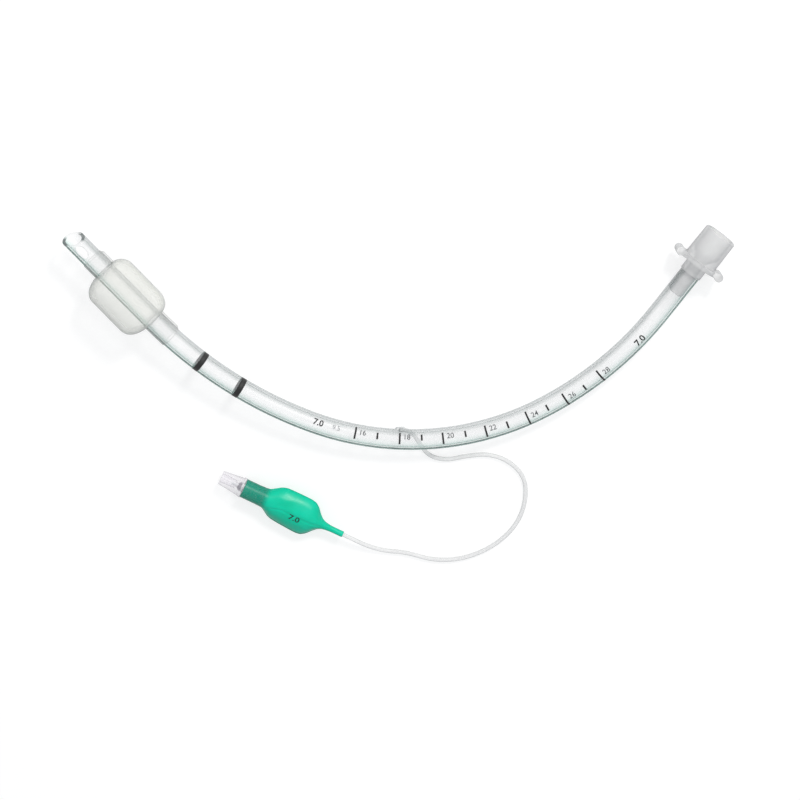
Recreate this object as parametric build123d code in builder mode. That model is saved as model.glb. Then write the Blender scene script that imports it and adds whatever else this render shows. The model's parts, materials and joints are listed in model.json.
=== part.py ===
"""Cuffed endotracheal tube, internal diameter 7.0 mm, lying on a table with its pilot balloon beside it.

Frame: +Z up from the table, +X across the bend from the patient end to the machine end, +Y towards
the hollow of the bend. Millimetres. The tube is laid out flat from its patient tip, and then placed
by the point where its inflation line leaves the wall, so that the line stays joined to the tube.
"""

import os
from math import cos, degrees, radians, sin, sqrt, tan

import numpy
from build123d import *

os.makedirs("parts", exist_ok=True)

# Tube section
tube_od = 9.5
bore_d = 7.0
lumen_d = 0.8
lumen_sides = 6
lumen_angle = 35.0  # from the hollow side of the bend towards the table
stripe_width = 0.9
stripe_depth = 0.45
fit_gap = 0.02  # between bonded or pressed round faces

# Tube centreline from the patient tip: distances along it and bend radii
cuff_end = 53.0
collar_run = 11.0
tip_bend = (186.0, 74.5)  # radius, length
middle_bend = (123.0, 110.0)
machine_bend = (155.0, 68.0)
machine_run = 22.0

# Patient tip
bevel_angle = 57.0
bevel_turn = 40.0  # the bevel faces up, turned this far towards the hollow side
eye_station = 10.0
eye_length = 7.0
eye_width = 4.4

# Cuff
cuff_start = 22.0
collar_start = 14.5
cuff_r = 12.45
cuff_offset = 1.35  # the barrel hangs to the outer side of the bend
collar_wall = 0.35
shoulder_length = 6.2
ridge_r = 1.0
ridge_angle = 0.0
plug_length = 10.0

# Machine-end connector: a 15 mm male cone
cone_gauge_d = 15.47
cone_taper = 1 / 40
cone_length = 14.5
cone_wall = 1.35
insert_length = 11.0
insert_bore_d = 5.5
passage_d = 6.0
passage_start = 0.5  # the insert's bore ends in a small step here
shoulder_d = 10.3
shoulder_run = 4.9
flange_r = 8.6
flange_thick = 2.2
funnel_length = 4.0
ear_reach = 12.6
ear_r = 1.95
ear_neck = 2.6
ear_height = 7.0
edge_bevel = 0.5

# Where the inflation line leaves the wall
exit_station = 180.0
exit_x = 1.42
exit_y = -48.26
exit_heading = -2.03
crossing_station = 186.5
line_d = 2.0
line_sides = 6
line_gap = 0.3
socket_wall = 0.45
socket_depth = 2.4
socket_root = 1.8

# Inflation line from its socket under the tube and round to the pilot balloon
line_route = [
    (1.55, -44.60, 4.62),
    (3.70, -45.05, 2.75),
    (6.05, -46.40, 1.35),
    (8.50, -48.70, 1.00),
    (11.20, -53.20, 1.00),
    (15.20, -58.30, 1.00),
    (23.00, -60.20, 1.00),
    (32.50, -57.90, 1.00),
    (43.00, -56.80, 1.00),
    (52.80, -60.60, 1.00),
    (59.60, -68.30, 1.00),
    (60.40, -78.80, 1.00),
    (57.60, -89.20, 1.00),
    (51.00, -98.20, 1.00),
    (41.00, -105.40, 1.00),
    (29.00, -109.70, 1.00),
    (16.80, -109.90, 1.00),
    (5.00, -106.20, 1.00),
    (-5.80, -105.60, 1.00),
    (-14.20, -102.10, 3.00),
    (-20.69, -98.00, 5.00),
    (-28.40, -94.24, 5.00),
]

# Pilot balloon, measured from the end of its tail towards the valve
tail_end = (-24.73, -96.03, 5.0)
pilot_heading = 154.0
balloon_film = 0.45
balloon_sides = 8
tail_run = 5.5
neck_d = 9.0
neck_start = 44.2
neck_end = 51.1
body_sections = [  # distance, half width, half height
    (5.0, 1.45, 1.45),
    (9.5, 1.95, 1.9),
    (12.3, 3.4, 2.9),
    (18.3, 8.7, 4.9),
    (21.0, 8.9, 5.0),
    (35.5, 7.9, 5.0),
    (41.2, 4.9, 4.7),
    (44.6, 4.4, 4.4),
]

# Inflation valve, measured from its mouth inwards
housing_exposed = 11.4
mouth_d = 6.5
luer_d = 4.31
luer_taper = 0.06
luer_depth = 7.5
collar_d = 9.5
collar_thick = 1.2
throat_d = 2.4
seat_depth = 8.6
seat_run = 1.0
seat_gap = 0.1
chamber_d = 4.4
barrel_wall = 0.6
barrel_end = 21.0
valve_room = 0.5
plug_run = 9.0
stem_pin_d = 1.5
stem_tip = 5.6
stem_head_d = 3.6
stem_head = 1.0
seal_thick = 0.9
spring_wire = 0.32
spring_d = 3.2
spring_turns = 4
retainer_thick = 1.4
retainer_hole_d = 1.2


def along_flat(distance):
    """A plane across the tube laid flat, at a distance from the tip."""
    place = flat_line.position_at(distance, position_mode=PositionMode.LENGTH)
    heading = flat_line.tangent_at(distance, position_mode=PositionMode.LENGTH)
    return Plane(place, x_dir=Vector(0, 0, 1).cross(heading), z_dir=heading)


def along_tube(distance):
    """A plane across the tube as it lies: x to the hollow side, y up, z to the machine end."""
    return Plane(placing * along_flat(distance).location)


def along_pilot(distance):
    """A plane across the balloon and valve: x level, y up, z from the tail to the valve's mouth."""
    return pilot.offset(distance)


def half_section(place):
    """The plane through the axis of a turned piece: x away from the axis, y along it."""
    return Plane(place.origin, x_dir=place.x_dir, z_dir=place.x_dir.cross(place.z_dir))


def on_ring(radius, angle):
    """A point of a cross section, at an angle from its x direction."""
    return (radius * cos(radians(angle)), radius * sin(radians(angle)))


tube_r = tube_od / 2
bore_r = bore_d / 2
line_r = line_d / 2
wall_r = (tube_r + bore_r) / 2
tube_length = cuff_end + collar_run + tip_bend[1] + middle_bend[1] + machine_bend[1] + machine_run

# The centreline laid flat, from the tip towards the machine end
with BuildLine() as flat:
    straight = Line((0, 0), (cuff_end, 0))
    collar_arc = JernArc(straight @ 1, straight % 1, tip_bend[0], degrees(collar_run / tip_bend[0]))
    bend = collar_arc
    for radius, length in (tip_bend, middle_bend, machine_bend):
        bend = JernArc(bend @ 1, bend % 1, radius, degrees(length / radius))
    Line(bend @ 1, bend @ 1 + (bend % 1) * machine_run)
flat_line = flat.wire()

# The tube leans on three points: the cuff, the flange, and the inflation line that it crosses
exit_plane = along_flat(exit_station)
level = Plane(exit_plane.origin, x_dir=exit_plane.z_dir.rotate(Axis.Z, -exit_heading), z_dir=(0, 0, 1))
supports = (
    (cuff_end - shoulder_length, cuff_r, -cuff_offset),
    (crossing_station, tube_r + line_d + line_gap, 0),
    (tube_length + shoulder_run, flange_r, 0),
)
touching = []
for distance, height, aside in supports:
    point = level.to_local_coords(along_flat(distance).from_local_coords((aside, 0, 0)))
    touching.append((point.X, point.Y, 1))
lean_x, lean_y, exit_height = numpy.linalg.solve(touching, [height for _, height, _ in supports])
level_x = sqrt(1 - lean_x**2)
upright = sqrt(1 - lean_x**2 - lean_y**2)
lie = Plane(
    (exit_x, exit_y, exit_height),
    x_dir=(level_x, 0, lean_x),
    z_dir=(-upright * lean_x / level_x, -lean_y / level_x, upright),
)
placing = lie.location * level.location.inverse()
centreline = flat_line.moved(placing)
tip = along_tube(0)
machine_end = along_tube(tube_length)
tip_turned = Plane(tip.origin, x_dir=-tip.x_dir, z_dir=tip.z_dir)  # round faces close at the stripe

pilot = Plane(
    tail_end,
    x_dir=(sin(radians(pilot_heading)), -cos(radians(pilot_heading)), 0),
    z_dir=(cos(radians(pilot_heading)), sin(radians(pilot_heading)), 0),
)
mouth = neck_end + housing_exposed

# Inflation line, one plain tube on straight runs and arcs
socket = Plane(line_route[0], z_dir=Vector(line_route[1]) - Vector(line_route[0]))
runs = [Vector(b) - Vector(a) for a, b in zip(line_route, line_route[1:])]
radii = []
for before, after in zip(runs, runs[1:]):
    shorter = min(before.length, after.length)
    radii.append(0.45 * shorter / tan(radians(before.get_angle(after) / 2)))
print("line radii", [round(radius, 1) for radius in radii])
print("line runs", [round(run.length, 1) for run in runs])
with BuildLine() as line_path:
    FilletPolyline(line_route, radius=radii)
with BuildPart() as inflation_line:
    with BuildSketch(socket) as line_section:
        RegularPolygon(line_r, line_sides)
    sweep(path=line_path.wire())
inflation_line.part.label = "inflation_line"
line_length = line_path.wire().length
print("line length", round(line_length, 1), "volume", round(inflation_line.part.volume, 2))
print("section times length", round(line_length * line_section.sketch.area, 2))
export_step(inflation_line.part, "parts/inflation_line.step")

# Tube wall with the socket that the inflation line is bonded into
facing = on_ring(1, 90 - bevel_turn)
toe = tip.from_local_coords((-facing[0] * tube_r, -facing[1] * tube_r, 0))
heel_run = tube_od / tan(radians(bevel_angle))
heel = tip.from_local_coords((facing[0] * tube_r, facing[1] * tube_r, heel_run))
bevel = Plane(toe, x_dir=heel - toe, z_dir=tip.z_dir.cross(heel - toe).cross(heel - toe) * -1)
with BuildPart() as tube:
    with BuildSketch(tip_turned):
        Circle(tube_r)
    sweep(path=centreline)
    # The bevel opens upwards and leaves a blunt point on the table side
    split(bisect_by=bevel, keep=Keep.TOP)
    with BuildSketch(socket.offset(-socket_root)):
        Circle(line_r + socket_wall)
    extrude(amount=socket_root + socket_depth)
    with BuildSketch(tip_turned):
        Circle(bore_r)
    sweep(path=centreline, mode=Mode.SUBTRACT)
    # Side eye opposite the bevel
    eye_centre = along_tube(eye_station)
    outwards = eye_centre.from_local_coords((-facing[0], -facing[1], 0)) - eye_centre.origin
    with BuildSketch(Plane(eye_centre.origin, x_dir=eye_centre.z_dir, z_dir=outwards)):
        Ellipse(eye_length / 2, eye_width / 2)
    extrude(amount=tube_od, mode=Mode.SUBTRACT)
    # Inflation lumen along the wall
    with BuildSketch(tip):
        with Locations(on_ring(wall_r, -lumen_angle)):
            RegularPolygon(lumen_d / 2, lumen_sides)
    sweep(path=centreline, mode=Mode.SUBTRACT)
    add(inflation_line.part, mode=Mode.SUBTRACT)
    # Groove of the radiopaque stripe on the outer side of the bend
    with BuildSketch(tip):
        with Locations((-tube_r, 0)):
            Rectangle(2 * stripe_depth, stripe_width)
    sweep(path=centreline, mode=Mode.SUBTRACT)
tube.part.label = "tube"

export_step(tube.part, "parts/tube.step")

# Radiopaque stripe, flush with the wall
with BuildPart() as stripe:
    with BuildSketch(tip):
        Circle(tube_r)
        with Locations((-tube_r, 0)):
            Rectangle(2 * stripe_depth, stripe_width, mode=Mode.INTERSECT)
    sweep(path=centreline)
    split(bisect_by=bevel, keep=Keep.TOP)
stripe.part.label = "radiopaque_stripe"
export_step(stripe.part, "parts/radiopaque_stripe.step")

# Plug that seals the lumen at the machine end
with BuildPart() as lumen_plug:
    with BuildSketch(machine_end):
        with Locations(on_ring(wall_r, -lumen_angle)):
            RegularPolygon(lumen_d / 2 - fit_gap, lumen_sides)
    extrude(amount=-plug_length)
lumen_plug.part.label = "lumen_plug"
export_step(lumen_plug.part, "parts/lumen_plug.step")

# Cuff: an eccentric barrel, one closed solid, between two bonded collars with the ridge over the lumen
barrel_plane = along_tube(cuff_start)
barrel_plane.origin = barrel_plane.from_local_coords((-cuff_offset, 0, 0))
barrel_run = cuff_end - cuff_start
barrel_neck_r = tube_r + collar_wall + cuff_offset
with BuildPart() as cuff:
    with BuildSketch(half_section(barrel_plane)):
        with BuildLine():
            Polyline(
                (0, 0),
                (barrel_neck_r, 0),
                (cuff_r, shoulder_length),
                (cuff_r, barrel_run - shoulder_length),
                (barrel_neck_r, barrel_run),
                (0, barrel_run),
                close=True,
            )
        make_face()
    revolve(axis=Axis(barrel_plane.origin, barrel_plane.z_dir))
    with BuildSketch(along_tube(collar_start)):
        Circle(tube_r + collar_wall)
        with Locations(on_ring(tube_r, ridge_angle)):
            Circle(ridge_r)
    extrude(amount=cuff_start - collar_start)
    with BuildSketch(along_tube(collar_start)):
        Circle(tube_r + fit_gap)
    extrude(amount=cuff_end - collar_start, mode=Mode.SUBTRACT)
    with BuildSketch(along_tube(cuff_end)):
        Circle(tube_r + collar_wall)
        with Locations(on_ring(tube_r, ridge_angle)):
            Circle(ridge_r)
        Circle(tube_r + fit_gap, mode=Mode.SUBTRACT)
    sweep(path=collar_arc.moved(placing))
cuff.part.label = "cuff"
export_step(cuff.part, "parts/cuff.step")

# Connector: insert, shoulder, eared flange and 15 mm cone in one moulding
insert_r = bore_r - fit_gap
insert_bore_r = insert_bore_d / 2
passage_r = passage_d / 2
shoulder_r = shoulder_d / 2
flange_top = shoulder_run + flange_thick
cone_end = flange_top + cone_length
cone_base_r = cone_gauge_d / 2
cone_tip_r = cone_base_r - cone_length * cone_taper / 2
mouth_bore_r = cone_tip_r - cone_wall
machine_axis = Axis(machine_end.origin, machine_end.z_dir)
ear_middle = machine_end.offset(shoulder_run + flange_thick / 2)
ear_centre = ear_reach - ear_r
with BuildPart() as ears:
    with BuildSketch(Plane(ear_middle.origin, x_dir=ear_middle.x_dir, z_dir=ear_middle.y_dir)):
        for side in (1, -1):
            with Locations((side * ear_centre, 0)):
                Circle(ear_r)
            with Locations((side * (ear_centre + cone_base_r - edge_bevel) / 2, 0)):
                Rectangle(ear_centre - cone_base_r + edge_bevel, ear_neck)
    extrude(amount=ear_height / 2, both=True)
with BuildPart() as connector:
    with BuildSketch(half_section(machine_end)):
        with BuildLine():
            Polyline(
                (insert_bore_r, -insert_length),
                (insert_r - edge_bevel, -insert_length),
                (insert_r, edge_bevel - insert_length),
                (insert_r, 0),
                (shoulder_r, 0),
                (shoulder_r, shoulder_run),
                (flange_r, shoulder_run),
                (flange_r, flange_top),
                (cone_base_r, flange_top),
                (cone_tip_r, cone_end - edge_bevel),
                (cone_tip_r - edge_bevel, cone_end),
                (mouth_bore_r, cone_end),
                (mouth_bore_r, flange_top + funnel_length),
                (passage_r, flange_top),
                (passage_r, passage_start),
                (insert_bore_r, passage_start),
                close=True,
            )
        make_face()
    revolve(axis=machine_axis)
    add(ears.part)
connector.part.label = "connector"
export_step(connector.part, "parts/connector.step")

# Pilot balloon: a flattened pillow, one closed solid, with a neck for the valve and a tail for the line
tail_r = line_r + fit_gap + balloon_film
neck_r = neck_d / 2
plug_r = neck_r - balloon_film
corners = [on_ring(1, 360 * side / balloon_sides) for side in range(balloon_sides)]
with BuildPart() as balloon:
    for distance, half_width, half_height in body_sections:
        with BuildSketch(along_pilot(distance)):
            with BuildLine():
                Polyline([(half_width * x, half_height * y) for x, y in corners], close=True)
            make_face()
    loft(ruled=True)
    with BuildSketch(along_pilot(0)):
        Circle(tail_r)
    extrude(amount=tail_run)
    with BuildSketch(along_pilot(neck_start)):
        Circle(neck_r)
    extrude(amount=neck_end - neck_start)
    with BuildSketch(along_pilot(neck_end)):
        Circle(plug_r)
    extrude(amount=housing_exposed - barrel_end - valve_room, mode=Mode.SUBTRACT)
    add(inflation_line.part, mode=Mode.SUBTRACT)
balloon.part.label = "pilot_balloon"
export_step(balloon.part, "parts/pilot_balloon.step")

# Valve housing: luer mouth, seat and spring chamber, plugged into the balloon's neck
valve = Plane(along_pilot(mouth).origin, x_dir=(0, 0, 1), z_dir=-pilot.z_dir)
valve_axis = Axis(valve.origin, valve.z_dir)
barrel_r = chamber_d / 2 + barrel_wall
luer_r = luer_d / 2
throat_r = throat_d / 2
with BuildPart() as housing:
    with BuildSketch(half_section(valve)):
        with BuildLine():
            Polyline(
                (luer_r, 0),
                (mouth_d / 2, 0),
                (neck_r - fit_gap, housing_exposed - collar_thick),
                (collar_d / 2, housing_exposed - collar_thick),
                (collar_d / 2, housing_exposed),
                (plug_r - fit_gap, housing_exposed),
                (plug_r - fit_gap, housing_exposed + plug_run),
                (barrel_r, housing_exposed + plug_run),
                (barrel_r, barrel_end),
                (chamber_d / 2, barrel_end),
                (chamber_d / 2, seat_depth + seat_run),
                (throat_r, seat_depth),
                (throat_r, luer_depth),
                (luer_r - luer_taper * luer_depth / 2, luer_depth),
                close=True,
            )
        make_face()
    revolve(axis=valve_axis)
housing.part.label = "valve_housing"
export_step(housing.part, "parts/valve_housing.step")

# Valve stem: a pin that a syringe pushes, on a head that the spring holds shut
stem_head_r = stem_head_d / 2
seal_front = seat_depth + seat_gap
seal_edge = seal_front + seat_run * (stem_head_r - throat_r) / (chamber_d / 2 - throat_r)
head_top = seal_edge + seal_thick
with BuildPart() as stem:
    with BuildSketch(half_section(valve)):
        with BuildLine():
            Polyline(
                (0, stem_tip),
                (stem_pin_d / 2, stem_tip),
                (stem_pin_d / 2, head_top),
                (stem_head_r, head_top),
                (stem_head_r, head_top + stem_head),
                (stem_pin_d / 2, head_top + stem_head),
                (stem_pin_d / 2, head_top + stem_head + stem_pin_d),
                (0, head_top + stem_head + stem_pin_d),
                close=True,
            )
        make_face()
    revolve(axis=valve_axis)
stem.part.label = "valve_stem"
export_step(stem.part, "parts/valve_stem.step")

# Rubber seal on the stem, with the cone of the seat on its front
with BuildPart() as seal:
    with BuildSketch(half_section(valve)):
        with BuildLine():
            Polyline(
                (stem_pin_d / 2 + fit_gap, seal_front),
                (throat_r, seal_front),
                (stem_head_r, seal_edge),
                (stem_head_r, head_top - fit_gap),
                (stem_pin_d / 2 + fit_gap, head_top - fit_gap),
                close=True,
            )
        make_face()
    revolve(axis=valve_axis)
seal.part.label = "valve_seal"
export_step(seal.part, "parts/valve_seal.step")

# Retainer ring that closes the spring chamber and lets the air through
retainer_start = barrel_end - retainer_thick
with BuildPart() as retainer:
    with BuildSketch(valve.offset(retainer_start)):
        Circle(chamber_d / 2 - fit_gap)
        Circle(retainer_hole_d / 2, mode=Mode.SUBTRACT)
    extrude(amount=retainer_thick)
retainer.part.label = "spring_retainer"
export_step(retainer.part, "parts/spring_retainer.step")

# Return spring between the stem's head and the retainer
spring_start = head_top + stem_head + spring_wire / 2 + fit_gap
spring_run = retainer_start - fit_gap - spring_wire / 2 - spring_start
with BuildPart() as spring:
    with BuildLine() as coil_path:
        Helix(
            pitch=spring_run / spring_turns,
            height=spring_run,
            radius=(spring_d - spring_wire) / 2,
            center=valve.offset(spring_start).origin,
            direction=valve.z_dir,
        )
    with BuildSketch(Plane(coil_path.line @ 0, z_dir=coil_path.line % 0)):
        Rectangle(spring_wire, spring_wire)
    sweep(path=coil_path.wire(), is_frenet=True)
spring.part.label = "valve_spring"
export_step(spring.part, "parts/valve_spring.step")
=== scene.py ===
import json
import math
import bmesh
import bpy
from mathutils import Matrix, Vector, noise
from mathutils.bvhtree import BVHTree
from mathutils.kdtree import KDTree


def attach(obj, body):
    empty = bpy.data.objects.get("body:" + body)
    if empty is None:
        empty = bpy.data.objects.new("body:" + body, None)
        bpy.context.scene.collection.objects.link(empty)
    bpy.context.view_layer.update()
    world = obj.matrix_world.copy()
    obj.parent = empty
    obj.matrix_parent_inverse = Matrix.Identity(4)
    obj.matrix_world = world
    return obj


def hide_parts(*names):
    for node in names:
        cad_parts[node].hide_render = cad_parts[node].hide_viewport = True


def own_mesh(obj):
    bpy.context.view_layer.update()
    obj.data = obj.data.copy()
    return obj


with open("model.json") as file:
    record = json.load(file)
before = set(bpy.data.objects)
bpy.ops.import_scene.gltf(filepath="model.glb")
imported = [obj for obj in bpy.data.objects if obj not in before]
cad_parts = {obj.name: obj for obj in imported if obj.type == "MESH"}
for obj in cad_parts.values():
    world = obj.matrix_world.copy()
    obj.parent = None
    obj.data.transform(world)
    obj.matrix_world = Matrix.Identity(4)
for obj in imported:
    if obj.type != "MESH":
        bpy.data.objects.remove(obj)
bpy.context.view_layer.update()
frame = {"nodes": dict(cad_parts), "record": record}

scene = bpy.context.scene
scene.view_settings.view_transform = "Standard"
scene.cycles.transparent_max_bounces = 32     # many clear walls lie behind each other
mm = 0.001
mounts = {mount["name"]: mount for mount in frame["record"]["mounts"]}


# shader maths as expressions on sockets
class Wire:
    def __init__(self, tree, socket):
        self.tree = tree
        self.socket = socket

    def math(self, operation, a, b=0.0, clamp=False):
        settings = {"operation": operation, "use_clamp": clamp}
        return self.tree.node("ShaderNodeMath", settings, {0: a, 1: b})

    def __add__(self, other): return self.math("ADD", self, other)
    def __radd__(self, other): return self.math("ADD", other, self)
    def __sub__(self, other): return self.math("SUBTRACT", self, other)
    def __mul__(self, other): return self.math("MULTIPLY", self, other)
    def __truediv__(self, other): return self.math("DIVIDE", self, other)
    def __pow__(self, other): return self.math("POWER", self, other)

    def clamped(self):
        return self.math("ADD", self, 0.0, clamp=True)

    def atLeast(self, other):
        return self.math("MAXIMUM", self, other)

    def ramp(self, low, high):
        return ((self - low) / (high - low)).clamped()


# one material and the calls that add its nodes
class Finish:
    def __init__(self, name):
        self.material = bpy.data.materials.new(name)
        self.material.use_nodes = True
        self.nodes = self.material.node_tree.nodes
        self.links = self.material.node_tree.links
        self.nodes.clear()
        self.output = self.nodes.new("ShaderNodeOutputMaterial")
        self.place = self.node("ShaderNodeTexCoord", {}, {}, "Object")

    def node(self, kind, settings, values, out=0):
        made = self.nodes.new(kind)
        for key, value in settings.items():
            setattr(made, key, value)
        for key, value in values.items():
            if isinstance(value, Wire):
                self.links.new(value.socket, made.inputs[key])
            else:
                made.inputs[key].default_value = value
        return Wire(self, made.outputs[out])

    def noise(self, scale, detail=2.0, rough=0.5, stretch=(1, 1, 1)):
        at = self.node("ShaderNodeMapping", {}, {"Vector": self.place, "Scale": stretch})
        values = {"Vector": at, "Scale": scale, "Detail": detail, "Roughness": rough}
        return self.node("ShaderNodeTexNoise", {}, values, "Fac")

    def facing(self, blend=0.5):
        return self.node("ShaderNodeLayerWeight", {}, {"Blend": blend}, "Facing")

    def mix(self, factor, a, b):
        values = {0: factor, 6: a, 7: b}
        return self.node("ShaderNodeMix", {"data_type": "RGBA"}, values, 2)

    def bump(self, height, strength, distance):
        values = {"Height": height, "Strength": strength, "Distance": distance}
        return self.node("ShaderNodeBump", {}, values, "Normal")

    def finish(self, **values):
        shader = self.nodes.new("ShaderNodeBsdfPrincipled")
        for key, value in values.items():
            socket = shader.inputs[key.replace("_", " ")]
            if isinstance(value, Wire):
                self.links.new(value.socket, socket)
            else:
                socket.default_value = value
        self.links.new(shader.outputs[0], self.output.inputs["Surface"])
        return self.material


# a colour given as it shows on a screen
def tone(*shown):
    return tuple(((c + 0.055) / 1.055) ** 2.4 if c > 0.04045 else c / 12.92 for c in shown) + (1.0,)


# finishes
# wall colours: middle is the clear wall's own tone; edge, deep and tip are painted shade, mint is painted light from
# the stripe
wall = {"edge": tone(0.66, 0.69, 0.69), "middle": tone(0.99, 0.985, 0.99), "mint": tone(0.66, 0.93, 0.86),
        "deep": tone(0.22, 0.40, 0.36), "tip": tone(0.42, 0.45, 0.45), "rough": 0.2,
        "alpha": {"clear": 0.08, "rim": 0.6, "haze": 0.03, "mint": 0.12, "deep": 0.4, "hollow": 0.06, "dark": 0.55,
                  "tip": 0.1}}


def makeWallFinish():
    f = Finish("clearWall")
    facing = f.facing(0.5)
    rim = facing ** 2.0
    outward = f.node("ShaderNodeAttribute", {"attribute_name": "outward"}, {}, "Fac")   # 1 at the stripe
    tip = f.node("ShaderNodeAttribute", {"attribute_name": "tipEdge"}, {}, "Fac")       # 1 at the bevel
    # mint: painted light, the stripe's colour carried round the clear wall towards it
    mint = outward.ramp(0.45, 0.98)
    # deep: painted shade, a dark green line where the wall beside the stripe is seen edge-on
    deep = outward.ramp(0.86, 0.96) * rim
    # dark: painted shade along the bevel's cut edge at the tube's sides
    dark = tip * (outward * outward).ramp(0.3, 0.75)
    # hollow: a painted grey shade band along the hollow side
    hollow = (outward * -1.0).ramp(0.68, 0.8)
    haze = f.noise(70, 3, 0.6).ramp(0.3, 0.75)
    share = wall["alpha"]
    alpha = share["clear"] + rim * (share["rim"] - share["clear"]) + haze * share["haze"]
    alpha = alpha + mint * share["mint"] + deep * share["deep"] + hollow * share["hollow"]
    alpha = alpha + dark * share["dark"] + tip * share["tip"]
    # painted shade: the wall greys towards its rims and in the hollow band
    color = f.mix(rim.atLeast(hollow), wall["middle"], wall["edge"])
    color = f.mix(deep, f.mix(mint * 0.65, color, wall["mint"]), wall["deep"])
    return f.finish(Base_Color=f.mix(dark, color, wall["tip"]), Alpha=alpha.clamped(),
                    Roughness=wall["rough"] + haze * 0.08, IOR=1.45,
                    Normal=f.bump(f.noise(160, 2), 0.05, 0.0003))


def makeStripeFinish():
    f = Finish("stripe")
    shade = f.noise(160, 2).ramp(0.3, 0.7)
    return f.finish(Base_Color=f.mix(shade, tone(0.22, 0.36, 0.33), tone(0.3, 0.45, 0.42)),
                    Roughness=0.4 + shade * 0.1)


def makePlugFinish():
    f = Finish("plugWall")
    rim = f.facing(0.5) ** 2.0
    cloud = f.noise(400, 2).ramp(0.3, 0.7)
    # painted shade: the plug greys towards its rims
    return f.finish(Base_Color=f.mix(rim, tone(0.86, 0.87, 0.87), tone(0.6, 0.61, 0.61)),
                    Alpha=(0.3 + rim * 0.5 + cloud * 0.1).clamped(), Roughness=0.35 + cloud * 0.1)


def makeInkFinish(name, dark, pale):
    f = Finish(name)
    worn = f.noise(1800, 3, 0.6).ramp(0.35, 0.8)
    return f.finish(Base_Color=f.mix(worn, dark, pale), Roughness=0.5 + worn * 0.15)


def makeCuffFinish():
    f = Finish("cuffFilm")
    rim = f.facing(0.5) ** 2.0
    crumple = f.noise(140, 4, 0.6)
    cloud = f.noise(60, 3, 0.55).ramp(0.3, 0.7)
    alpha = 0.16 + cloud * 0.04 + rim * 0.44
    # painted shade: the film greys towards its rims
    color = f.mix(rim, tone(1.0, 1.0, 0.97), tone(0.76, 0.77, 0.77))
    return f.finish(Base_Color=color, Alpha=alpha.clamped(), Roughness=0.45 + cloud * 0.12, IOR=1.4,
                    Normal=f.bump(crumple, 0.15, 0.0005))


def makeCollarFinish():
    f = Finish("collarFilm")
    rim = f.facing(0.5) ** 1.7
    cloud = f.noise(120, 2).ramp(0.3, 0.7)
    # painted shade: the collar greys towards its rims, which shows its ridge
    return f.finish(Base_Color=f.mix(rim, tone(0.9, 0.9, 0.89), tone(0.48, 0.49, 0.48)),
                    Alpha=(0.03 + cloud * 0.03 + rim * 0.6).clamped(), Roughness=0.25 + cloud * 0.1, IOR=1.45)


def makeConnectorFinish():
    f = Finish("milkyMoulding")
    rim = f.facing(0.5) ** 1.6
    cloud = f.noise(45, 3, 0.5).ramp(0.3, 0.7)
    alpha = 0.4 + rim * 0.42 + cloud * 0.05
    # painted shade: the moulding greys towards its rims
    color = f.mix(rim, tone(0.92, 0.92, 0.92), tone(0.62, 0.63, 0.64))
    return f.finish(Base_Color=color, Alpha=alpha.clamped(), Roughness=0.32 + cloud * 0.08, IOR=1.45,
                    Normal=f.bump(f.noise(300, 2), 0.05, 0.0003))


def makeLineFinish():
    f = Finish("clearLine")
    rim = f.facing(0.5) ** 2.0
    cloud = f.noise(120, 2).ramp(0.3, 0.7)
    alpha = 0.42 + rim * 0.4 + cloud * 0.05
    # painted shade: the line greys towards its rims
    color = f.mix(rim, tone(0.97, 0.97, 0.97), tone(0.7, 0.71, 0.71))
    return f.finish(Base_Color=color, Alpha=alpha.clamped(), Roughness=0.28 + cloud * 0.06, IOR=1.48)


def makeBalloonFinish():
    f = Finish("greenFilm")
    rim = f.facing(0.5) ** 1.8
    neck = f.node("ShaderNodeAttribute", {"attribute_name": "neck"}, {}, "Fac")   # 1 where it grips the valve
    cloud = f.noise(110, 3, 0.6).ramp(0.3, 0.7)
    color = f.mix(cloud, tone(0.0, 0.88, 0.70), tone(0.0, 0.93, 0.77))
    # painted shade: the film darkens to a deep teal at its rims
    color = f.mix(rim, f.mix(neck, color, tone(0.0, 0.68, 0.56)), tone(0.0, 0.46, 0.38))
    alpha = 0.76 + rim * 0.2 - neck * 0.2
    return f.finish(Base_Color=color, Alpha=alpha.clamped(), Roughness=0.3 + cloud * 0.1, IOR=1.36,
                    Normal=f.bump(f.noise(220, 3, 0.6), 0.2, 0.0005))


def makeHousingFinish():
    f = Finish("clearHousing")
    rim = f.facing(0.5) ** 2.2
    cloud = f.noise(90, 2).ramp(0.3, 0.7)
    # painted shade: the housing turns purple-grey at its rims
    color = f.mix(rim, tone(0.97, 0.95, 0.98), tone(0.5, 0.45, 0.52))
    return f.finish(Base_Color=color, Alpha=(0.16 + rim * 0.5 + cloud * 0.04).clamped(),
                    Roughness=0.14 + cloud * 0.06, IOR=1.5)


def makeStemFinish():
    f = Finish("whiteMoulding")
    cloud = f.noise(300, 2).ramp(0.3, 0.7)
    return f.finish(Base_Color=f.mix(cloud, tone(0.93, 0.94, 0.94), tone(0.88, 0.9, 0.9)),
                    Roughness=0.35 + cloud * 0.1)


def makeSealFinish():
    f = Finish("sealRubber")
    cloud = f.noise(500, 3).ramp(0.3, 0.7)
    return f.finish(Base_Color=f.mix(cloud, tone(0.42, 0.42, 0.45), tone(0.5, 0.5, 0.52)),
                    Roughness=0.65 + cloud * 0.1)


def makeSpringFinish():
    f = Finish("springWire")
    drawn = f.noise(900, 2, 0.5, (1, 1, 6)).ramp(0.3, 0.7)
    return f.finish(Base_Color=f.mix(drawn, tone(0.75, 0.75, 0.77), tone(0.85, 0.85, 0.87)), Metallic=1.0,
                    Roughness=0.28 + drawn * 0.1)


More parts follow.
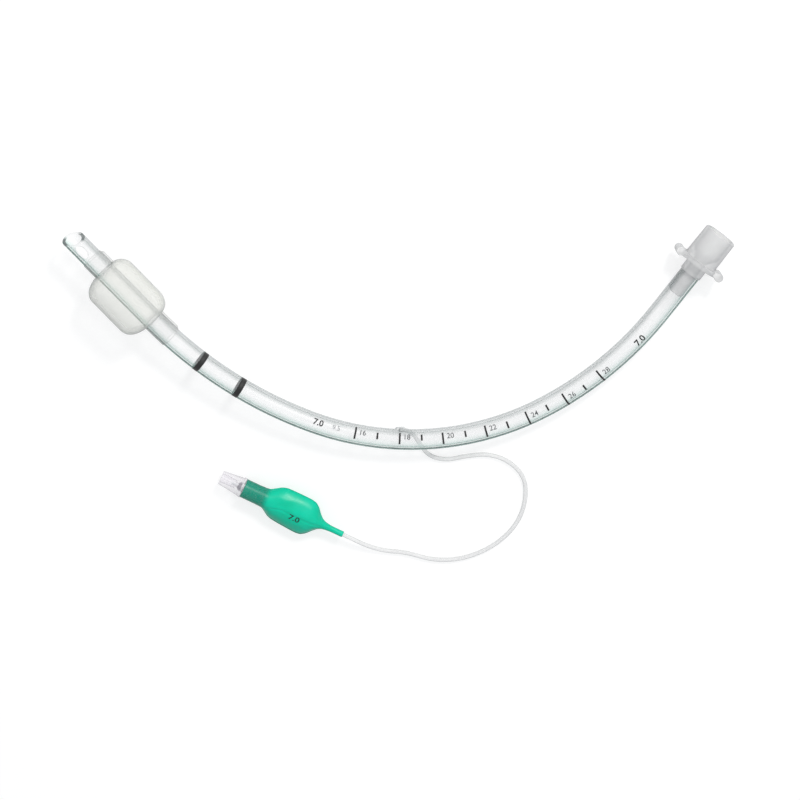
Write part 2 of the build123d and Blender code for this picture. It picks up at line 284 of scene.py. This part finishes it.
finishes = {
    "wall": makeWallFinish(), "stripe": makeStripeFinish(), "plug": makePlugFinish(), "cuff": makeCuffFinish(),
    "collar": makeCollarFinish(), "connector": makeConnectorFinish(), "line": makeLineFinish(),
    "balloon": makeBalloonFinish(), "housing": makeHousingFinish(), "stem": makeStemFinish(),
    "seal": makeSealFinish(), "spring": makeSpringFinish(),
    "ink": makeInkFinish("blackInk", tone(0.1, 0.1, 0.1), tone(0.2, 0.2, 0.2)),
    "faintInk": makeInkFinish("faintInk", tone(0.6, 0.61, 0.62), tone(0.72, 0.73, 0.74)),
    "paleInk": makeInkFinish("greyInk", tone(0.3, 0.31, 0.32), tone(0.45, 0.46, 0.47)),
    "greenInk": makeInkFinish("greenInk", tone(0.0, 0.22, 0.17), tone(0.0, 0.3, 0.24)),
}
nodeFinish = {
    "tube": "wall", "radiopaque_stripe": "stripe", "lumen_plug": "wall", "connector": "connector",
    "valve_housing": "housing", "valve_stem": "stem", "valve_seal": "seal", "valve_spring": "spring",
    "spring_retainer": "stem",
}
for node, name in nodeFinish.items():
    for slot in frame["nodes"][node].material_slots:
        slot.material = finishes[name]
print("finishes made")

# where the tube lies: its centreline, worked back from the machine end
tube = {"radius": 4.75 * mm, "coneEnd": 21.6 * mm, "bevelAngle": 57.0, "bevelTurn": 40.0, "tipBand": 0.3 * mm,
        "weld": 1e-6, "sharp": 35,   # the runs are length and bend radius in mm, from the tip
        "runs": [(53, 0), (11, 186), (74.5, 186), (110, 123), (68, 155), (22, 0)]}
machineAxis = Vector(mounts["machine_cone"]["axis"]).normalized()
lipsAxis = Vector(mounts["holder_place"]["axis"]).normalized()
machineEnd = Vector(mounts["machine_cone"]["pos_m"]) - machineAxis * tube["coneEnd"]
upright = lipsAxis.cross(machineAxis).normalized()
tubeLength = sum(length for length, _ in tube["runs"]) * mm


# the place across the tube at a distance from its tip: x to the hollow side, y up, z to the machine end
def alongTube(station):
    point, heading, left = machineEnd.copy(), machineAxis.copy(), tubeLength - station
    for length, radius in reversed(tube["runs"]):
        step = min(left, length * mm)
        if radius:
            centre = point + upright.cross(heading) * radius * mm
            turn = Matrix.Rotation(-step / (radius * mm), 3, upright)
            point = centre + turn @ (point - centre)
            heading = turn @ heading
        else:
            point = point - heading * step
        left -= step
        if left <= 0:
            break
    if left > 0:
        point = point - heading * left
    side = upright.cross(heading)
    place = Matrix((side, upright, heading)).transposed().to_4x4()
    place.translation = point
    return place


# a point on the wall, at an angle in degrees from the hollow side upwards
def onWall(station, angle, lift=0.0):
    turn = math.radians(angle)
    reach = tube["radius"] + lift
    return alongTube(station) @ Vector((reach * math.cos(turn), reach * math.sin(turn), 0))


def addPiece(name, mesh, finish):
    piece = bpy.data.objects.new(name, mesh)
    scene.collection.objects.link(piece)
    mesh.materials.append(finishes[finish])
    mesh.shade_smooth()
    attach(piece, "airway")
    return piece


def meshOf(bm, name):
    mesh = bpy.data.meshes.new(name)
    bmesh.ops.recalc_face_normals(bm, faces=bm.faces)
    bm.to_mesh(mesh)
    bm.free()
    return mesh


# camera
view = {"place": (0.01168, 0.21988, 0.80183), "back": (0.01223, 0.29928, 0.95409),
        "up": (-0.01235, 0.95413, -0.29914), "lens": 82.57, "sensor": 36.0, "far": 20.0}


def makeCamera():
    camera = bpy.data.objects.new("camera", bpy.data.cameras.new("camera"))
    scene.collection.objects.link(camera)
    back = Vector(view["back"]).normalized()
    right = Vector(view["up"]).cross(back).normalized()
    up = back.cross(right)
    camera.matrix_world = Matrix((right, up, back)).transposed().to_4x4()
    camera.location = view["place"]
    camera.data.lens = view["lens"]
    camera.data.sensor_width = view["sensor"]
    camera.data.sensor_fit = "HORIZONTAL"
    camera.data.clip_end = view["far"]
    scene.camera = camera


makeCamera()
print("camera set")

# inflation line: the route of the model's own line, in metres
line = {"diameter": 0.002, "length": 0.187, "cuts": 12, "round": 6, "points": [
    (0.00155, -0.04460, 0.00462), (0.00370, -0.04505, 0.00275), (0.00605, -0.04640, 0.00135),
    (0.00850, -0.04870, 0.00100), (0.01120, -0.05320, 0.00100), (0.01520, -0.05830, 0.00100),
    (0.02300, -0.06020, 0.00100), (0.03250, -0.05790, 0.00100), (0.04300, -0.05680, 0.00100),
    (0.05280, -0.06060, 0.00100), (0.05960, -0.06830, 0.00100), (0.06040, -0.07880, 0.00100),
    (0.05760, -0.08920, 0.00100), (0.05100, -0.09820, 0.00100), (0.04100, -0.10540, 0.00100),
    (0.02900, -0.10970, 0.00100), (0.01680, -0.10990, 0.00100), (0.00500, -0.10620, 0.00100),
    (-0.00580, -0.10560, 0.00100), (-0.01420, -0.10210, 0.00300), (-0.02069, -0.09800, 0.00500),
    (-0.02840, -0.09424, 0.00500)]}


def makeLine():
    curve = bpy.data.curves.new("inflationLine", "CURVE")
    curve.dimensions = "3D"
    spline = curve.splines.new("NURBS")
    spline.points.add(len(line["points"]) - 1)
    for point, place in zip(spline.points, line["points"]):
        point.co = (*place, 1.0)
    spline.order_u = 3
    spline.use_endpoint_u = True
    spline.resolution_u = line["cuts"]
    curve.bevel_depth = line["diameter"] / 2
    curve.bevel_resolution = line["round"]
    curve.use_fill_caps = True
    curve.materials.append(finishes["line"])
    piece = bpy.data.objects.new("inflationLine", curve)
    scene.collection.objects.link(piece)
    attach(piece, "airway")
    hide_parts("inflation_line")
    return piece


linePiece = makeLine()
print("inflation line laid")

# a unit circle at the first place, extruded on to each of the others
def ringLoft(bm, places, segments):
    ring = bmesh.ops.create_circle(bm, segments=segments, radius=1.0, matrix=places[0])["verts"]
    edges = list({edge for vert in ring for edge in vert.link_edges})
    rings = [ring]
    for before, after in zip(places, places[1:]):
        grown = bmesh.ops.extrude_edge_only(bm, edges=edges)["geom"]
        ring = [part for part in grown if isinstance(part, bmesh.types.BMVert)]
        inRing = set(ring)
        edges = [part for part in grown if isinstance(part, bmesh.types.BMEdge) and inRing.issuperset(part.verts)]
        bmesh.ops.transform(bm, matrix=after @ before.inverted(), verts=ring)
        rings.append(ring)
    return rings


# moves each vertex of the rings within its own ring's place
def reform(places, rings, form):
    for index, (place, ring) in enumerate(zip(places, rings)):
        back = place.inverted()
        for vert in ring:
            vert.co = place @ form(back @ vert.co, index)


# a smooth line through the stops of a profile
def profile(stops, value):
    value = min(max(value, stops[0][0]), stops[-1][0])
    index = next(i for i in range(1, len(stops)) if value <= stops[i][0])
    (x0, y0), (x1, y1) = stops[index - 1], stops[index]
    slopes = [(b[1] - a[1]) / (b[0] - a[0]) for a, b in zip(stops, stops[1:])]

    def slopeAt(i):
        if i in (0, len(stops) - 1) or slopes[i - 1] * slopes[i] <= 0:
            return 0.0
        return 2 * slopes[i - 1] * slopes[i] / (slopes[i - 1] + slopes[i])
    run, t = x1 - x0, (value - x0) / (x1 - x0)
    return (y0 * (1 + 2 * t) * (1 - t) ** 2 + slopeAt(index - 1) * run * t * (1 - t) ** 2
            + y1 * t * t * (3 - 2 * t) + slopeAt(index) * run * t * t * (t - 1))


def steps(start, end, count):
    return [start + (end - start) * i / (count - 1) for i in range(count)]


def solidify(piece, thickness, offset=-1.0):
    shell = piece.modifiers.new("film", "SOLIDIFY")
    shell.thickness = thickness
    shell.offset = offset
    shell.use_even_offset = True


# tube wall: the model's own shape, with a value for how far each point is round to the stripe
def makeTube():
    source = frame["nodes"]["tube"]
    bm = bmesh.new()
    bm.from_mesh(source.data)
    bmesh.ops.remove_doubles(bm, verts=bm.verts, dist=tube["weld"])
    outward = bm.verts.layers.float.new("outward")
    tipEdge = bm.verts.layers.float.new("tipEdge")
    facing = math.radians(90 - tube["bevelTurn"])
    heelRun = 2 * tube["radius"] / math.tan(math.radians(tube["bevelAngle"]))
    across = Vector((math.cos(facing), math.sin(facing), 0)) * 2 * tube["radius"]
    toe, heel = alongTube(0) @ (across / -2), alongTube(0) @ (across / 2 + Vector((0, 0, heelRun)))
    level = alongTube(0).to_3x3() @ Vector((-math.sin(facing), math.cos(facing), 0))
    bevel = level.cross(heel - toe).normalized()
    if bevel.dot(alongTube(0).to_3x3().col[2]) < 0:
        bevel = -bevel
    for depth in (tube["tipBand"], 2 * tube["tipBand"]):
        geom = list(bm.verts) + list(bm.edges) + list(bm.faces)
        bmesh.ops.bisect_plane(bm, geom=geom, plane_co=toe + bevel * depth, plane_no=bevel)
    table = KDTree(len(stationPlaces))
    for index, place in enumerate(stationPlaces):
        table.insert(place.translation, index)
    table.balance()
    for vert in bm.verts:
        place = stationPlaces[table.find(vert.co)[1]]
        local = place.inverted() @ vert.co
        vert[outward] = -local.x / math.hypot(local.x, local.y)
        behind = (vert.co - toe).dot(bevel)
        vert[tipEdge] = min(max(0.0, 1 - behind / tube["tipBand"]), 1.0)
    mesh = bpy.data.meshes.new("tubeWall")
    bm.to_mesh(mesh)
    bm.free()
    piece = addPiece("tubeWall", mesh, "wall")
    mesh.set_sharp_from_angle(angle=math.radians(tube["sharp"]))
    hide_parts("tube")


stationPlaces = [alongTube(i * mm) for i in range(-2, round(tubeLength / mm) + 3)]
makeTube()
print("tube wall made")

# plug that seals the lumen, spread in the wall at the machine end
plug = {"start": 328.0, "end": 337.4, "width": 2.2, "depth": 0.95, "reach": 4.12, "angle": -35.0,
        "tips": 0.985, "rings": 24, "round": 20}


def makePlug():
    places = []
    for t in steps(-plug["tips"], plug["tips"], plug["rings"]):
        station = (plug["start"] + plug["end"]) / 2 + t * (plug["end"] - plug["start"]) / 2
        fromEnd = min(station - plug["start"], plug["end"] - station)
        swell = math.sqrt(min(1.0, 1 - max(0.0, 1 - fromEnd / (plug["width"] / 2)) ** 2))
        place = alongTube(station * mm) @ Matrix.Rotation(math.radians(plug["angle"]), 4, "Z")
        place = place @ Matrix.Translation((plug["reach"] * mm, 0, 0))
        places.append(place @ Matrix.Diagonal((plug["depth"] / 2 * swell * mm, plug["width"] / 2 * swell * mm, 1, 1)))
    bm = bmesh.new()
    rings = ringLoft(bm, places, plug["round"])
    bmesh.ops.contextual_create(bm, geom=rings[0])
    bmesh.ops.contextual_create(bm, geom=rings[-1])
    piece = addPiece("lumenPlug", meshOf(bm, "lumenPlug"), "plug")
    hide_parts("lumen_plug")


makePlug()

# cuff: a thin barrel on its two collars
cuff = {"start": 22.0, "end": 53.0, "radius": 12.45, "aside": 1.35, "neck": 5.1, "shoulder": 6.6, "film": 0.16,
        "bulge": (2.3, 1.9), "pleatNoise": (6, 0.1), "sagNoise": (1.5, 0.08),   # noise round and along
        "collars": [(14.5, 22.6, 15.2, 22.6), (52.4, 64.0, 52.4, 63.2)],   # sleeve from, to, ridge from, to
        "sleeve": 5.08, "sleeveEnds": (14.5, 64.0), "sleeveEdge": 4.78, "edgeRun": 0.35, "ridge": 1.0,
        "pleat": 0.018, "pleatAt": 2.5, "pleatRun": 2.6, "sag": 0.008, "barrelRings": 72, "collarRings": 44,
        "round": 144}


def barrelRadius(station):
    fromEnd = min(station - cuff["start"], cuff["end"] - station)
    rise = max(0.0, 1 - fromEnd / cuff["shoulder"])
    steep, full = cuff["bulge"]
    return cuff["neck"] + (cuff["radius"] - cuff["neck"]) * (1 - rise ** steep) ** (1 / full)


# the film's unevenness at an angle and a distance, by its scales round and along
def uneven(turn, distance, around, along):
    return noise.noise(Vector((math.cos(turn) * around, math.sin(turn) * around, distance * along)))


def makeBarrel():
    half = (cuff["end"] - cuff["start"]) / 2
    middle = cuff["start"] + half
    turns = steps(-math.pi / 2, math.pi / 2, cuff["barrelRings"])
    stations = [middle + half * math.sin(turn) for turn in turns]
    places = []
    for station in stations:
        reach = barrelRadius(station) * mm
        swell = (reach / mm - cuff["neck"]) / (cuff["radius"] - cuff["neck"])
        place = alongTube(station * mm) @ Matrix.Translation((-cuff["aside"] * swell * mm, 0, 0))
        places.append(place @ Matrix.Diagonal((reach, reach, 1, 1)))
    bm = bmesh.new()
    rings = ringLoft(bm, places, cuff["round"])

    def crumple(local, index):
        fromEnd = min(stations[index] - cuff["start"], cuff["end"] - stations[index])
        turn = math.atan2(local.y, local.x)
        pleat = uneven(turn, fromEnd, *cuff["pleatNoise"])
        sag = uneven(turn, stations[index], *cuff["sagNoise"])
        nearNeck = math.exp(-((fromEnd - cuff["pleatAt"]) / cuff["pleatRun"]) ** 2)
        local.xy *= 1 - cuff["pleat"] * nearNeck * (1 + pleat) - cuff["sag"] * (1 + sag)
        return local
    reform(places, rings, crumple)
    return bm


def makeCollar(bm, start, end, ridgeStart, ridgeEnd):
    stations = steps(start, end, cuff["collarRings"])
    first, last = cuff["sleeveEnds"]
    places = []
    for station in stations:
        edge = min(1.0, min(station - first, last - station) / cuff["edgeRun"] + 0.05)
        reach = (cuff["sleeveEdge"] + (cuff["sleeve"] - cuff["sleeveEdge"]) * edge) * mm
        places.append(alongTube(station * mm) @ Matrix.Diagonal((reach, reach, 1, 1)))
    rings = ringLoft(bm, places, cuff["round"])

    def addRidge(local, index):
        station, across = stations[index], math.atan2(local.y, local.x) * cuff["sleeve"] / cuff["ridge"]
        past = max(ridgeStart + cuff["ridge"] - station, station - ridgeEnd + cuff["ridge"], 0.0)
        if start < cuff["start"] < station or station < cuff["end"] < end:   # it runs on under the barrel
            past = 0.0
        height = 1 - across ** 2 - (past / cuff["ridge"]) ** 2
        if height > 0:
            local.xy *= 1 + math.sqrt(height) * cuff["ridge"] / cuff["sleeve"]
        return local
    reform(places, rings, addRidge)


def makeCuff():
    bm = makeBarrel()
    barrelFaces = len(bm.faces)
    for collar in cuff["collars"]:
        makeCollar(bm, *collar)
    for face in list(bm.faces)[barrelFaces:]:
        face.material_index = 1
    piece = addPiece("cuffFilm", meshOf(bm, "cuffFilm"), "cuff")
    piece.data.materials.append(finishes["collar"])
    solidify(piece, cuff["film"] * mm)
    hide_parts("cuff")


makeCuff()
print("cuff made")

# pilot balloon: two films welded at their sides, with a neck round the valve and a tail round the line
pilot = {"tail": (-0.02473, -0.09603, 0.005), "heading": 154.0, "film": 0.2, "round": 128,
         "length": 51.1, "rings": 110, "neckStart": 38.5, "neckRun": 2.5,
         "seam": 0.35, "seamWidth": 0.06, "fold": 0.3, "foldWidth": 0.45, "swell": 0.12, "swellWidth": 1.6,
         "ripple": 0.045, "rippleNoise": (0.35, 0.22), "flatness": 0.65,   # below, at mm from the tail
         "upper": [(0, 1.42), (5.5, 1.45), (9.0, 1.85), (11.2, 2.6), (13.0, 4.0), (15.9, 7.1), (18.2, 8.5),
                   (21.5, 8.95), (27.0, 9.0), (32.0, 8.9), (34.8, 8.1), (37.2, 6.6), (39.6, 5.1), (42.0, 4.6),
                   (45.0, 4.5), (51.1, 4.5)],
         "lower": [(0, 1.42), (5.5, 1.45), (9.0, 1.75), (11.2, 2.5), (13.0, 4.0), (15.9, 7.2), (18.2, 8.6),
                   (20.5, 8.9), (27.0, 8.5), (33.0, 7.9), (35.2, 7.3), (37.5, 6.0), (39.6, 4.9), (42.0, 4.55),
                   (45.0, 4.5), (51.1, 4.5)],
         "height": [(0, 1.42), (5.5, 1.45), (9.0, 1.8), (12.0, 2.8), (15.5, 4.3), (19.0, 4.95), (30.0, 4.95),
                    (36.0, 4.9), (40.0, 4.7), (44.0, 4.5), (51.1, 4.5)],
         "weld": [(0, 0), (8.0, 0), (13.0, 0.75), (18.0, 1), (33.0, 1), (38.5, 0.6), (42.5, 0), (51.1, 0)],
         "crease": [(11.0, -0.5), (18.0, -0.6), (30.5, -0.4), (34.2, -1.3), (38.5, -3.0)]}


# the place across the balloon: x level, y up, z from the tail to the valve's mouth
def alongPilot(distance):
    turn = math.radians(pilot["heading"])
    axis = Vector((math.cos(turn), math.sin(turn), 0))
    side = Vector((math.sin(turn), -math.cos(turn), 0))
    place = Matrix((side, Vector((0, 0, 1)), axis)).transposed().to_4x4()
    place.translation = Vector(pilot["tail"]) + axis * distance
    return place


def makePillow():
    distances = steps(0, pilot["length"], pilot["rings"])
    places = [alongPilot(distance * mm) @ Matrix.Diagonal((mm, mm, 1, 1)) for distance in distances]
    bm = bmesh.new()
    neck = bm.verts.layers.float.new("neck")
    rings = ringLoft(bm, places, pilot["round"])

    def inflate(local, index):
        distance = distances[index]
        turn = math.atan2(local.y, local.x)
        c, s = math.cos(turn), math.sin(turn)
        weld = profile(pilot["weld"], distance)
        wide = profile(pilot["upper"], distance) if c > 0 else profile(pilot["lower"], distance)
        high = profile(pilot["height"], distance)
        x = c * wide
        y = math.copysign(abs(s) ** (1 + pilot["flatness"] * weld), s) * high
        x += math.copysign(pilot["seam"] * weld * math.exp(-(s / pilot["seamWidth"]) ** 2), c)
        if s > 0 and weld > 0:
            aside = x - profile(pilot["crease"], distance)
            fold = pilot["fold"] * math.exp(-(aside / pilot["foldWidth"]) ** 2)
            swell = pilot["swell"] * math.exp(-(aside / pilot["swellWidth"]) ** 2)
            y -= weld * (fold - swell)
        across, along = pilot["rippleNoise"]
        ripple = noise.noise(Vector((x * across, distance * along, s)))
        y *= 1 - pilot["ripple"] * weld * (1 + ripple)
        return Vector((x, y, local.z))
    reform(places, rings, inflate)
    for distance, ring in zip(distances, rings):
        for vert in ring:
            vert[neck] = min(max((distance - pilot["neckStart"]) / pilot["neckRun"], 0.0), 1.0)
    piece = addPiece("pilotPillow", meshOf(bm, "pilotPillow"), "balloon")
    solidify(piece, pilot["film"] * mm)
    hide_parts("pilot_balloon")
    return piece


pillow = makePillow()
print("pilot balloon made")

# print on the wall: two black bands, depth marks and their numbers, and the size; major and minor marks
# are a place along the tube and two angles round it, words are a name, the words, their height, their
# place and angle, the ink and how bold
marks = {"bands": [81.2, 102.3], "bandWidth": 2.5, "lift": 0.012, "ink": 0.02, "tickWidth": 0.85, "round": 96,
         "bandRings": 4, "tickRows": 16, "cuts": 9, "capHeight": 0.7, "curveCuts": 4,
         "major": [(159.3, 25, 95.5), (180, 30.5, 96), (200, 38.5, 105.5), (220, 44, 113), (240, 46.5, 136),
                   (259, 53.5, 151), (278, 56, 162.5)],
         "minor": [(169.6, 40.5, 78), (190.2, 40.5, 75), (210.5, 48, 83), (230.3, 59, 100), (250, 63.5, 100.5),
                   (269.2, 77.5, 112.5)],
         "words": [("number16", "16", 2.4, 162.6, 52, "paleInk", 0.01),
                   ("number18", "18", 2.4, 183.3, 54, "paleInk", 0.01),
                   ("number20", "20", 2.4, 203.5, 60, "paleInk", 0.01),
                   ("number22", "22", 2.4, 223.5, 67, "paleInk", 0.01),
                   ("number24", "24", 2.4, 243.6, 80, "paleInk", 0.01),
                   ("number26", "26", 2.4, 262.6, 90, "paleInk", 0.01),
                   ("number28", "28", 2.4, 281.6, 90, "paleInk", 0.01),
                   ("sizeMark", "7.0", 2.8, 141.5, 58, "ink", 0.03),
                   ("outsideMark", "9.5", 2.2, 150.2, 58, "faintInk", 0.0),
                   ("sizeMarkTop", "7.0", 3.0, 301.8, 94, "ink", 0.03)]}


def makeBands():
    for number, station in enumerate(marks["bands"]):
        reach = tube["radius"] + marks["lift"] * mm
        ends = steps(station - marks["bandWidth"] / 2, station + marks["bandWidth"] / 2, marks["bandRings"])
        places = [alongTube(end * mm) @ Matrix.Diagonal((reach, reach, 1, 1)) for end in ends]
        bm = bmesh.new()
        ringLoft(bm, places, marks["round"])
        piece = addPiece(f"ringMark{number + 1}", meshOf(bm, "ringMark"), "ink")
        solidify(piece, marks["ink"] * mm, 1.0)


def makeTick(bm, station, fromAngle, toAngle):
    made = bmesh.ops.create_grid(bm, x_segments=2, y_segments=marks["tickRows"], size=1.0)["verts"]
    for vert in made:
        angle = fromAngle + (toAngle - fromAngle) * (vert.co.y + 1) / 2
        vert.co = onWall((station + vert.co.x * marks["tickWidth"] / 2) * mm, angle, marks["lift"] * mm)


def makeTicks():
    bm = bmesh.new()
    for tick in marks["major"] + marks["minor"]:
        makeTick(bm, *tick)
    piece = addPiece("depthMarks", meshOf(bm, "depthMarks"), "ink")
    solidify(piece, marks["ink"] * mm, 1.0)


# the words as a flat mesh about its own middle, cut fine enough to lie round a wall
def textMesh(words, height, bold):
    letters = bpy.data.curves.new("letters", "FONT")
    letters.body = words
    letters.size = height / marks["capHeight"]
    letters.align_x = "CENTER"
    letters.offset = height * bold
    letters.resolution_u = marks["curveCuts"]
    holder = bpy.data.objects.new("letters", letters)
    scene.collection.objects.link(holder)
    bpy.context.view_layer.update()
    mesh = bpy.data.meshes.new_from_object(holder)
    bpy.data.objects.remove(holder)
    bpy.data.curves.remove(letters)
    bm = bmesh.new()
    bm.from_mesh(mesh)
    bpy.data.meshes.remove(mesh)
    bmesh.ops.translate(bm, verts=bm.verts, vec=(0, -height / 2, 0))
    for level in steps(-height / 2, height / 2, marks["cuts"]):
        geom = list(bm.verts) + list(bm.edges) + list(bm.faces)
        bmesh.ops.bisect_plane(bm, geom=geom, plane_co=(0, level, 0), plane_no=(0, 1, 0))
    return bm


def printOnTube(name, words, height, station, angle, finish, bold):
    bm = textMesh(words, height * mm, bold)
    for vert in bm.verts:
        turn = angle - math.degrees(vert.co.y / tube["radius"])
        vert.co = onWall(station * mm + vert.co.x, turn, marks["lift"] * mm)
    piece = addPiece(name, meshOf(bm, name), finish)
    solidify(piece, marks["ink"] * mm, 1.0)


makeBands()
makeTicks()
for words in marks["words"]:
    printOnTube(*words)
print("print on the wall made")

# the size on the balloon, laid on its film from above
balloonMark = {"words": "7.0", "height": 2.5, "bold": 0.03, "distance": 24.1, "aside": -1.4, "stretch": 1.25,
               "lift": 0.03, "above": 20}


def printOnBalloon():
    bm = textMesh(balloonMark["words"], balloonMark["height"] * mm, balloonMark["bold"])
    film = BVHTree.FromObject(pillow, bpy.context.evaluated_depsgraph_get())
    for vert in bm.verts:
        along = alongPilot(balloonMark["distance"] * mm - vert.co.x * balloonMark["stretch"])
        above = along @ Vector((vert.co.y + balloonMark["aside"] * mm, balloonMark["above"] * mm, 0))
        vert.co = film.ray_cast(above, Vector((0, 0, -1)))[0] + Vector((0, 0, balloonMark["lift"] * mm))
    piece = addPiece("balloonMark", meshOf(bm, "balloonMark"), "greenInk")
    solidify(piece, marks["ink"] * mm, 1.0)


printOnBalloon()

# return spring: the model's own spring, copied into a mesh of its own
spring = {"travel": 1.5 * mm, "sharp": 40}


def makeSpring():
    source = frame["nodes"]["valve_spring"]
    mesh = source.data.copy()
    mesh.materials.clear()
    mesh.transform(source.matrix_world)
    piece = addPiece("returnSpring", mesh, "spring")
    mesh.set_sharp_from_angle(angle=math.radians(spring["sharp"]))
    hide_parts("valve_spring")
    inward = -alongPilot(0).to_3x3().col[2]
    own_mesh(piece)
    return piece


returnSpring = makeSpring()
print("return spring made")

# floor, light and background
studio = {"floorSize": 3.0, "floorDrop": 0.02 * mm, "floorPlain": 0.8, "floorShade": 0.42, "floorGlow": 0.68,
          "sky": 0.6, "skyColor": (0.95, 0.97, 1.0, 1), "lamp": 6.2, "lampSize": 0.2, "lampColor": (1.0, 0.985, 0.96),
          "lampFrom": (0.38, 0.72, 0.74), "aim": (0.0, -0.02, 0.0)}


def makeStudio():
    bm = bmesh.new()
    bmesh.ops.create_grid(bm, x_segments=1, y_segments=1, size=studio["floorSize"])
    bmesh.ops.translate(bm, verts=bm.verts, vec=(0, 0, -studio["floorDrop"]))
    mesh = bpy.data.meshes.new("floor")
    bm.to_mesh(mesh)
    bm.free()
    floor = bpy.data.objects.new("floor", mesh)
    scene.collection.objects.link(floor)
    f = Finish("floor")
    path = {name: f.node("ShaderNodeLightPath", {}, {}, name)
            for name in ("Is Camera Ray", "Is Glossy Ray", "Is Transmission Ray")}
    seen = (path["Is Camera Ray"] + path["Is Glossy Ray"] + path["Is Transmission Ray"]).clamped()
    plain = f.node("ShaderNodeBsdfDiffuse", {}, {"Color": (studio["floorPlain"],) * 3 + (1,)})
    soft = f.node("ShaderNodeBsdfDiffuse", {}, {"Color": (studio["floorShade"],) * 3 + (1,)})
    glow = f.node("ShaderNodeEmission", {}, {"Color": (1, 1, 1, 1), "Strength": studio["floorGlow"]})
    shown = f.node("ShaderNodeAddShader", {}, {0: soft, 1: glow})
    mixed = f.node("ShaderNodeMixShader", {}, {0: seen, 1: plain, 2: shown})
    f.links.new(mixed.socket, f.output.inputs["Surface"])
    mesh.materials.append(f.material)

    world = bpy.data.worlds.new("world")
    scene.world = world
    world.use_nodes = True
    tree = world.node_tree
    tree.nodes.clear()
    lightPath = tree.nodes.new("ShaderNodeLightPath")
    sky = tree.nodes.new("ShaderNodeBackground")
    sky.inputs["Color"].default_value = studio["skyColor"]
    sky.inputs["Strength"].default_value = studio["sky"]
    white = tree.nodes.new("ShaderNodeBackground")
    white.inputs["Color"].default_value = (1, 1, 1, 1)
    both = tree.nodes.new("ShaderNodeMixShader")
    out = tree.nodes.new("ShaderNodeOutputWorld")
    tree.links.new(lightPath.outputs["Is Camera Ray"], both.inputs[0])
    tree.links.new(sky.outputs[0], both.inputs[1])
    tree.links.new(white.outputs[0], both.inputs[2])
    tree.links.new(both.outputs[0], out.inputs["Surface"])

    lamp = bpy.data.objects.new("softbox", bpy.data.lights.new("softbox", "AREA"))
    scene.collection.objects.link(lamp)
    lamp.data.size = studio["lampSize"]
    lamp.data.energy = studio["lamp"]
    lamp.data.color = studio["lampColor"]
    place = Vector(studio["lampFrom"])
    lamp.location = place
    lamp.rotation_euler = (Vector(studio["aim"]) - place).to_track_quat("-Z", "Y").to_euler()


makeStudio()
print("studio made")
